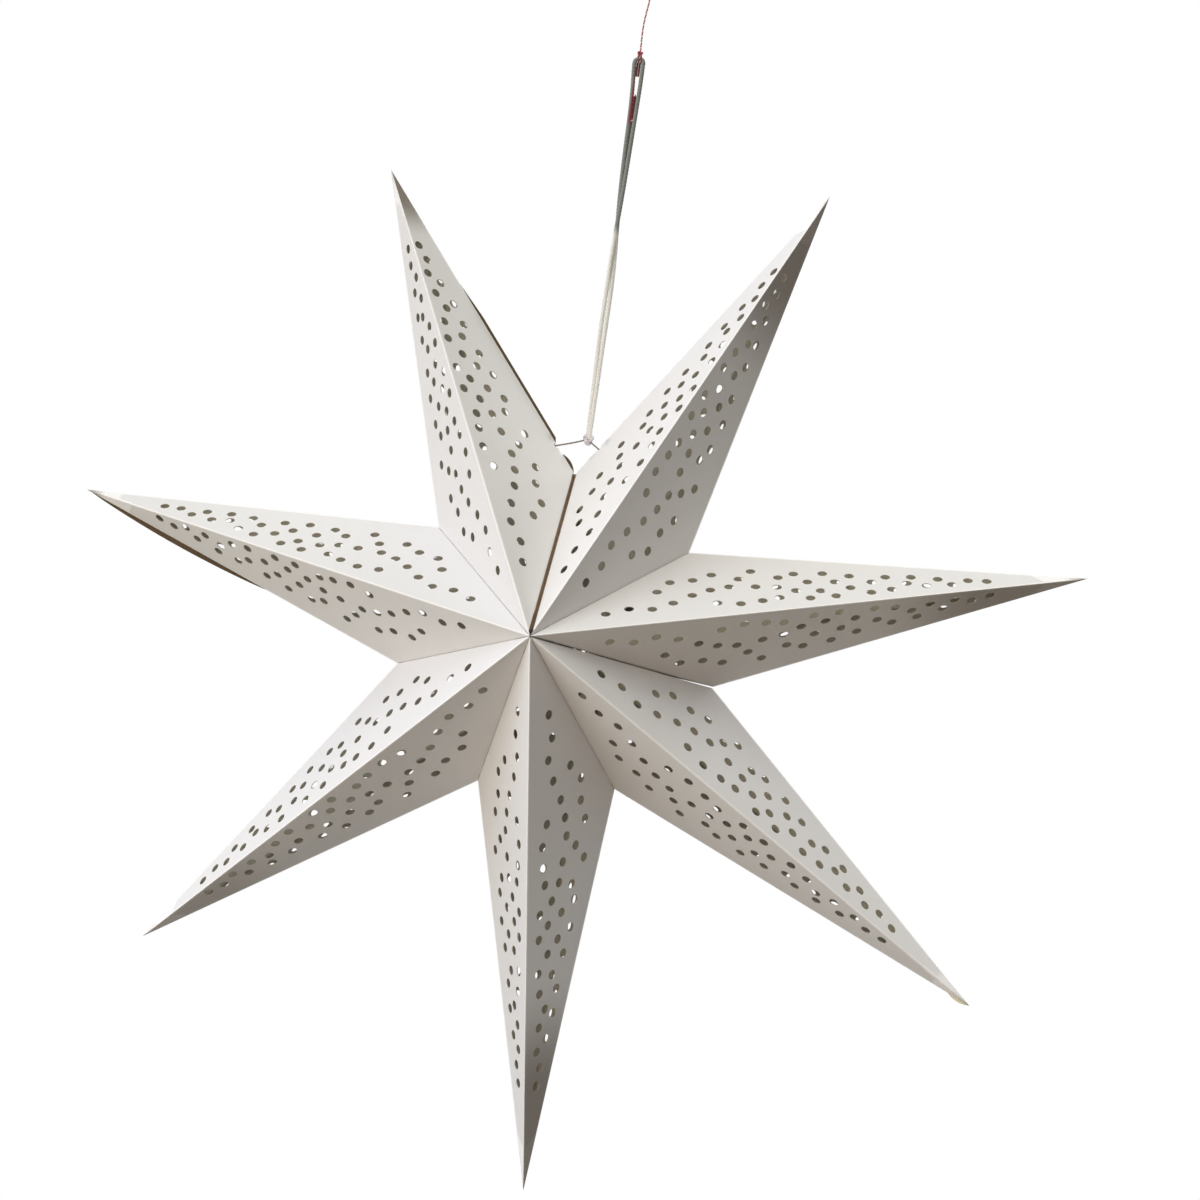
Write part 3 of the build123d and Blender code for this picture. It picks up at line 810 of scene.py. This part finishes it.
def smooth_line(name, route, step):
    """Even points along the NURBS spline of a route in millimetres, in metres."""
    curve = bpy.data.curves.new(name, "CURVE")
    curve.dimensions = "3D"
    curve.resolution_u = curve_steps
    spline = curve.splines.new("NURBS")
    spline.points.add(len(route) - 1)
    points = np.column_stack([np.asarray(route) * MM, np.ones(len(route))])
    spline.points.foreach_set("co", points.ravel())
    spline.order_u = curve_order
    spline.use_endpoint_u = True
    holder = bpy.data.objects.new(name, curve)
    mesh = bpy.data.meshes.new_from_object(holder)
    line = np.zeros(len(mesh.vertices) * 3)
    mesh.vertices.foreach_get("co", line)
    bpy.data.objects.remove(holder)
    return even_points(line.reshape(-1, 3), step)


def distances(line):
    """How far each point of a line is along it."""
    return np.concatenate([[0], np.cumsum(np.linalg.norm(np.diff(line, axis=0), axis=1))])


def even_points(line, step):
    """The same line, with points an even step apart."""
    gone = distances(line)
    count = max(2, int(round(gone[-1] / step)) + 1)
    at = np.linspace(0, gone[-1], count)
    return np.stack([np.interp(at, gone, line[:, i]) for i in range(3)], -1)


def sides_of(line, reference, closed):
    """Two unit vectors square to a line: a reference made square to its tangent, and their product."""
    if closed:
        tangent = unit(np.roll(line, -1, axis=0) - np.roll(line, 1, axis=0))
    else:
        tangent = unit(np.gradient(line, axis=0))
    reference = np.asarray(reference)
    side = unit(reference - (reference * tangent).sum(-1, keepdims=True) * tangent)
    return side, np.cross(tangent, side)


to_right = (1.0, 0.0, 0.0)
to_back = (0.0, 1.0, 0.0)
to_top = (0.0, 0.0, 1.0)
# Plies: where an open one's sides start from, its radius as a share of the cord, its sides and pitches,
# and how many bands of fibres run round a closed one
ply_reference = (0.3, 0.9, 0.3)
ply_share = 0.27
ply_sides = 8
ply_pitch = 3.4
tie_ply_pitch = 2.6
closed_bands = 20


def tube(line, radius, around_count=10, reference=to_back, closed=False):
    """
    A tube round a line: line + radius * (cos turn * side + sin turn * other), where the radius may change.
    A closed one takes its sides from out of its middle, so that it meets itself, and an open one has its
    ends filled. Returns points, faces and along-and-around values.
    """
    if closed:
        reference = line - line.mean(0)
        gone = np.arange(len(line)) / len(line) * closed_bands
    else:
        gone = distances(line) / MM
    side, other = sides_of(line, reference, closed)
    turn = np.linspace(0, 2 * np.pi, around_count, endpoint=False)
    radius = np.broadcast_to(radius, (len(line), around_count))
    points = line[:, None] + radius[..., None] * (
        np.cos(turn)[:, None] * side[:, None] + np.sin(turn)[:, None] * other[:, None]
    )
    faces = grid_faces(len(line), around_count, closed_rows=closed, closed_columns=True).tolist()
    uv = np.stack(np.broadcast_arrays(gone[:, None], turn / (2 * np.pi)), -1).reshape(-1, 2)
    points = points.reshape(-1, 3)
    if not closed:
        last = len(points) - around_count
        faces.append(list(range(around_count)))
        faces.append(list(range(last + around_count - 1, last - 1, -1)))
    return points, faces, uv


def wound(line, offset, pitch, phase, closed, reference):
    """A ply wound round a line: line + offset * (cos a * side + sin a * other), a turning once a pitch."""
    gone = distances(line)
    length = gone[-1] + (np.linalg.norm(line[0] - line[-1]) if closed else 0)
    turns = max(1, round(length / pitch)) if closed else length / pitch
    side, other = sides_of(line, reference, closed)
    angle = (2 * np.pi * turns * gone / length + phase)[:, None]
    return line + offset * (np.cos(angle) * side + np.sin(angle) * other)


def plies(line, diameter, pitch, closed=False, reference=to_back):
    """Two thin tubes wound round a line, together as thick as the cord, as parts for one mesh."""
    ply = diameter * ply_share * MM
    parts = []
    for number in range(2):
        path = wound(line, diameter / 2 * MM - ply, pitch * MM, np.pi * number, closed, reference)
        parts.append((*tube(path, ply, ply_sides, ply_reference, closed), number))
    return parts


def knot(middle, size, radius, around_count=10):
    """A closed overhand knot: a tube along sin t + 2 sin 2t, cos t - 2 cos 2t, -sin 3t, as one part."""
    t = np.linspace(0, 2 * np.pi, knot_steps, endpoint=False)
    shape = (np.sin(t) + 2 * np.sin(2 * t), -np.sin(3 * t) * knot_lift, np.cos(t) - 2 * np.cos(2 * t))
    line = (np.asarray(middle) + np.stack(shape, -1) * size / knot_width) * MM
    return (*tube(line, radius * MM, around_count, closed=True), 0)


def cord_piece(name, parts, body, materials):
    """Several parts (points, faces, values, material number) as one mesh, riding on a body."""
    points, faces, uvs, numbers = [], [], [], []
    total = 0
    for part_points, part_faces, part_uv, number in parts:
        points.append(part_points)
        uvs.append(part_uv)
        faces += [[point + total for point in face] for face in part_faces]
        numbers += [number % len(materials)] * len(part_faces)
        total += len(part_points)
    uv = np.concatenate(uvs)
    return new_piece(name, np.concatenate(points), faces, body, materials, numbers, uv=uv)


thread_finishes = [
    cord_material("red ply", (0.50, 0.07, 0.10), (0.26, 0.025, 0.04)),
    cord_material("white ply", (0.86, 0.62, 0.64), (0.68, 0.44, 0.46)),
]
# Painted shade: the red thread darkened nearly to black, and a near-black grey for the gap between the
# tape's strands
shaded_end_finishes = [
    cord_material("red thread in painted shade", (0.11, 0.016, 0.02), (0.06, 0.01, 0.012)),
    cord_material("grey painted shade between strands", (0.07, 0.072, 0.066), (0.04, 0.04, 0.037)),
]
tie_finish = cord_material("tie cord", (0.34, 0.31, 0.25), (0.20, 0.18, 0.14))
knot_finish = cord_material("pale cord", (0.82, 0.80, 0.86), (0.66, 0.64, 0.70), strands=4)
tape_finish = tape_material()

# Knots: points along one, its depth and its width in its own formula; then the size and radius of each
knot_steps = 90
knot_lift = 1.3
knot_width = 6.4
thread_knot = (3.0, 0.5)
tie_knot_size = (5.6, 1.0, 12)
stopper_knot = (3.6, 0.45)

# Heights of the cords, down from the hook, in millimetres
tape_knot_z = -284.6
bight = (-2.0, 0.0, -60.6)
hitch_z = -57.45
loop_knot_z = -13.45
loop_radius = 7.0
thread_diameter = 1.1
tape_diameter = 2.5

# Hanging tape: height above the tie knot, middle of the two strands, and one strand's place beside it
tape_route = np.array((
    (0.0, 0.0, 0.7, -1.2),
    (30.0, -0.3, 1.1, -0.9),
    (60.0, -0.7, 1.4, -0.2),
    (86.0, -0.5, 1.35, 0.4),
    (106.0, -0.8, 0.9, 1.05),
    (123.0, -1.1, 0.0, 1.4),
    (142.0, -1.3, -0.9, 1.05),
    (166.0, -1.4, -1.4, 0.4),
    (192.0, -1.3, -1.7, 0.0),
    (209.0, -1.5, -2.2, 0.0),
    (218.5, -2.0, -2.6, 0.0),
    (224.0, -2.0, -2.6, 0.0),
))
rise, middle_x, aside, forward = tape_route.T
one_strand = np.stack([middle_x + aside, forward, tape_knot_z + rise], -1)
two_strand = np.stack([middle_x - aside, -forward, tape_knot_z + rise], -1)
tape_step = 0.35
cord_step = 0.2
tape_line = smooth_line("tape line", np.concatenate([one_strand, two_strand[::-1]]), tape_step * MM)

# The braid's height, pitch and sides, and the red stain's half width, foot, top, fades and strength
braid = (0.22, 4.4, 18)
stain_half = 1.7
stain_foot = -101.0
stain_top = -62.5
stain_fades = (4.0, 1.0)
stain_strength = 2.2


def woven_tube(line, diameter, depth, pitch, around_count):
    """A braided cord: its radius rises where one of two opposite slanted sets of strands passes over."""
    turn = np.linspace(0, 2 * np.pi, around_count, endpoint=False)
    slant = 2 * np.pi * distances(line)[:, None] / MM / pitch
    over = np.maximum(np.abs(np.sin(2 * turn + slant)), np.abs(np.sin(2 * turn - slant)))
    return tube(line, (diameter / 2 - depth + depth * over) * MM, around_count)


points, faces, uv = woven_tube(tape_line, tape_diameter, *braid)
tape = new_piece("hanging_tape", points, faces, "tape", [tape_finish], uv=uv)
x, z = points[:, 0] / MM, points[:, 2] / MM
beside = np.clip(1.0 - np.abs(x - bight[0]) / stain_half, 0, 1)
between = np.clip((z - stain_foot) / stain_fades[0], 0, 1) * np.clip((stain_top - z) / stain_fades[1], 0, 1)
point_value(tape, "lining", np.clip(beside * stain_strength, 0, 1) * between)
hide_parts("tape_loop")

# The thread: height above the hitch, and place from side to side
thread_route = np.array(((0.0, -2.0), (12.0, -2.6), (21.0, -2.3), (32.0, -0.9), (44.0, 0.0)))
above, across = thread_route.T
thread_places = np.stack([across, 0 * across, hitch_z + above], -1)
thread_line = smooth_line("thread line", thread_places, cord_step * MM)
thread_plies = plies(thread_line, thread_diameter, ply_pitch)
thread = cord_piece("twisted_thread", thread_plies, "thread", thread_finishes)
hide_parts("thread")


# The thread's ends lie inside the tape's bight: two short ones at its top, and one that fills the gap
# between the strands
# below. Their colours are painted shade: the red thread darkened nearly to black, then a near-black grey in
# the gap.
short_end_x = (-0.66, 0.66)
short_end_z = (-62.2, -71.0)
short_end_radius = 0.62
short_end_steps = 24
long_end_heights = ((203.0, 188.0), (188.2, 138.0))
long_end_steps = 60
long_end_squash = 0.15
blunt_end, end_taper, least_end = 0.3, 2, 0.1
end_parts = []
for shift in short_end_x:
    heights = np.linspace(*short_end_z, short_end_steps)
    line = np.stack([0 * heights + bight[0] + shift, 0 * heights, heights], -1) * MM
    end_parts.append((*tube(line, short_end_radius * MM, ply_sides), 0))
for number, (top, foot) in enumerate(long_end_heights):
    heights = np.linspace(top, foot, long_end_steps)
    apart = np.hypot(np.interp(heights, rise, aside), np.interp(heights, rise, forward))
    thick = apart - tape_diameter / 2 + long_end_squash
    thick *= np.clip((top - heights + blunt_end) / end_taper, least_end, 1)
    line = np.stack([np.interp(heights, rise, middle_x), 0 * heights, tape_knot_z + heights], -1) * MM
    end_parts.append((*tube(line, thick[:, None] * MM, ply_sides), number))
thread_ends_and_gap_shade = cord_piece("thread_ends_and_gap_shade", end_parts, "tape", shaded_end_finishes)


def ring_line(middle, radius, aside, count):
    """Points round an upright circle: middle + radius * (cos t * aside + sin t * up)."""
    t = np.linspace(0, 2 * np.pi, count, endpoint=False)
    circle = radius * (np.outer(np.cos(t), aside) + np.outer(np.sin(t), to_top))
    return (np.asarray(middle) + circle) * MM


loop_steps = 220
hook_ring = ring_line((0, 0, thread_diameter / 2 - loop_radius), loop_radius, to_right, loop_steps)
loop_parts = plies(hook_ring, thread_diameter, ply_pitch, True)
loop_parts.append(knot((0, 0, loop_knot_z), *thread_knot))
loop = cord_piece("thread_loop", loop_parts, "hook_loop", thread_finishes)
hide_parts("hanging_loop")

hitch_gap = 0.3
hitch_turns = (-0.75, 0.75)
hitch_share = 0.9
hitch_steps = 120
hitch_radius = tape_diameter / 2 + hitch_gap + thread_diameter / 2
hitch_parts = []
for shift in hitch_turns:
    ring = ring_line((bight[0] + shift, 0, bight[2]), hitch_radius, to_back, hitch_steps)
    hitch_parts += plies(ring, thread_diameter * hitch_share, ply_pitch, True, to_right)
hitch_parts.append(knot((bight[0], 0, hitch_z), *thread_knot))
hitch = cord_piece("thread_wraps", hitch_parts, "thread", thread_finishes)
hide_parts("thread_hitch")

# Tie: two short strands from the knot at the foot of the tape, through the holes in the side creases
tie_knot_at = np.array((0, 0, tape_knot_z))
tie_knot = cord_piece("tape_knot", [knot(tie_knot_at, *tie_knot_size)], "tape", [knot_finish])
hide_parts("tie_knot")

tie_diameter = 1.1
tie_sag = np.array((0, -0.25, -0.35))
stopper_radius = 2.2
stopper_gap = 1.5
for k, side in enumerate(("left", "right")):
    hole = valleys[0] + unit(tips[k] - valleys[0]) * tie_out
    toward = unit(hole - tie_knot_at)
    end = hole + toward * (stopper_radius + stopper_gap + 2 * card)
    thirds = [(tie_knot_at * (3 - i) + hole * i) / 3 + tie_sag for i in (1, 2)]
    line = smooth_line(f"tie line {side}", [tie_knot_at + toward, *thirds, end], cord_step * MM)
    strand_parts = plies(line, tie_diameter, tie_ply_pitch)
    strand_parts.append(knot(end, *stopper_knot))
    strand = cord_piece(f"tie_strand_{side}", strand_parts, "tape", [tie_finish])
    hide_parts(f"tie_{side}")


# Finishes of the nodes that stay

board_finish = kraft("brown board", (0.22, 0.15, 0.09), (0.13, 0.085, 0.05), 700.0)
white_plastic = plastic("white plastic", (0.86, 0.86, 0.84), (0.80, 0.80, 0.77), 2500.0, 0.42)
dark_plastic = plastic("dark plastic", (0.035, 0.035, 0.038), (0.05, 0.05, 0.05), 2500.0, 0.48)
wrap = plastic(
    "cell wrap", (0.02, 0.024, 0.035), (0.03, 0.034, 0.05), 400.0, 0.28, Coat_Weight=0.3
)
board_green = plastic("circuit board", (0.012, 0.10, 0.045), (0.02, 0.14, 0.06), 1200.0, 0.35)
lens_finish = plastic(
    "clear lens", (0.95, 0.90, 0.76), (0.93, 0.86, 0.70), 300.0, 0.12, Transmission_Weight=0.8
)
frosted = plastic(
    "frosted plastic", (0.93, 0.93, 0.90), (0.88, 0.88, 0.85), 3000.0, 0.5,
    Transmission_Weight=0.35,
)
wire = metal("drawn wire", (0.60, 0.60, 0.59), 0.32, (1.0, 1.0, 0.1))
plated = metal("plated strip", (0.72, 0.70, 0.64), 0.28, (0.1, 1.0, 1.0))

finishes = {
    "seam_board_1": board_finish, "seam_board_2": board_finish,
    "lamp_bail": wire, "lamp_housing": white_plastic, "lamp_lid": white_plastic,
    "cell_1": wrap, "cell_2": wrap, "cell_3": wrap,
    "contact_top": plated, "contact_bottom": plated,
    "led_board": board_green, "led": lens_finish, "lamp_dome": frosted, "switch_knob": dark_plastic,
}
for name, finish in finishes.items():
    mesh = nodes[name].data
    mesh.materials.clear()
    mesh.materials.append(finish)


# Stage and light

floor_drop = -1.15
floor_radius = 0.9
floor_steps = 96


def floor():
    """A flat round floor: radius times cosine and sine of a turn."""
    turn = np.linspace(0, 2 * np.pi, floor_steps, endpoint=False)
    x, y = floor_radius * np.cos(turn), floor_radius * np.sin(turn)
    mesh = bpy.data.meshes.new("floor")
    mesh.from_pydata(np.stack([x, y, 0 * turn + floor_drop], -1).tolist(), [], [list(range(floor_steps))])
    made = in_scene("floor", mesh)
    s = Finish("floor paint")
    cloud = s.noise(s.where["Object"], 3.0, 2.0)
    base = s.mix(cloud, (0.24, 0.24, 0.24), (0.20, 0.20, 0.20))
    seen = s.add("LightPath").outputs["Is Camera Ray"]
    s.join(Base_Color=base, Roughness=0.9)
    s.join(Emission_Color=(1.0, 1.0, 1.0), Emission_Strength=seen)
    # Seen from below, the floor is clear, so that it never hides the star
    below = s.add("NewGeometry").outputs["Backfacing"]
    clear = s.add("BsdfTransparent").outputs[0]
    both = s.add("MixShader", {0: below, 1: s.shader.outputs[0], 2: clear}).outputs[0]
    s.put(both, s.output)
    mesh.materials.append(s.material)


floor()


def soft_light(name, place, aim, size, power, tint):
    """A square area light that looks at a point."""
    data = bpy.data.lights.new(name, "AREA")
    data.size = size
    data.energy = power
    data.color = tint
    made = in_scene(name, data)
    made.location = place
    made.rotation_euler = (Vector(aim) - Vector(place)).to_track_quat("-Z", "Y").to_euler()


soft_light("back", (1.4, 2.6, 1.2), (0.0, 0.0, centre_z * MM), 2.0, 60.0, (1.0, 0.99, 0.98))

# The room is white to the eye. Its light comes from soft round windows: each one's turn from straight
# in front, with minus to the left, its height, and its colour
windows = {
    "left": (-65, 0, (1.06, 1.19, 1.30)),
    "upper left": (-60, 40, (0.05, 0.15, 0.45)),
    "front": (-25, 0, (0.75, 0.45, 0.15)),
    "upper front": (0, 40, (1.08, 1.12, 1.13)),
    "low left": (-75, -35, (0.40, 0.36, 0.20)),
    "overhead": (-60, 80, (0.85, 0.80, 0.52)),
    "behind": (155, 20, (0.85, 0.85, 0.85)),
}
window_edge = (0.60, 0.95)

world = bpy.data.worlds.new("pale room")
bpy.context.scene.world = world
world.use_nodes = True
room = Shader(world.node_tree)
seen = room.add("LightPath").outputs["Is Camera Ray"]
toward = room.add("TexCoord").outputs["Generated"]
glow = (0.0, 0.0, 0.0)
for turn, height, tint in windows.values():
    turn, height = np.radians(turn), np.radians(height)
    middle = (np.sin(turn) * np.cos(height), -np.cos(turn) * np.cos(height), np.sin(height))
    facing = room.add("VectorMath", {0: toward, 1: middle}, operation="DOT_PRODUCT").outputs["Value"]
    share = room.span(facing, *window_edge)
    light = room.add("VectorMath", {0: tint, "Scale": share}, operation="SCALE").outputs["Vector"]
    glow = room.add("VectorMath", {0: glow, 1: light}, operation="ADD").outputs["Vector"]
tint = room.mix(seen, glow, (1.0, 1.0, 1.0))
sky = world.node_tree.nodes["Background"]
room.put(tint, sky.inputs["Color"])
bpy.context.scene.view_settings.view_transform = "Standard"
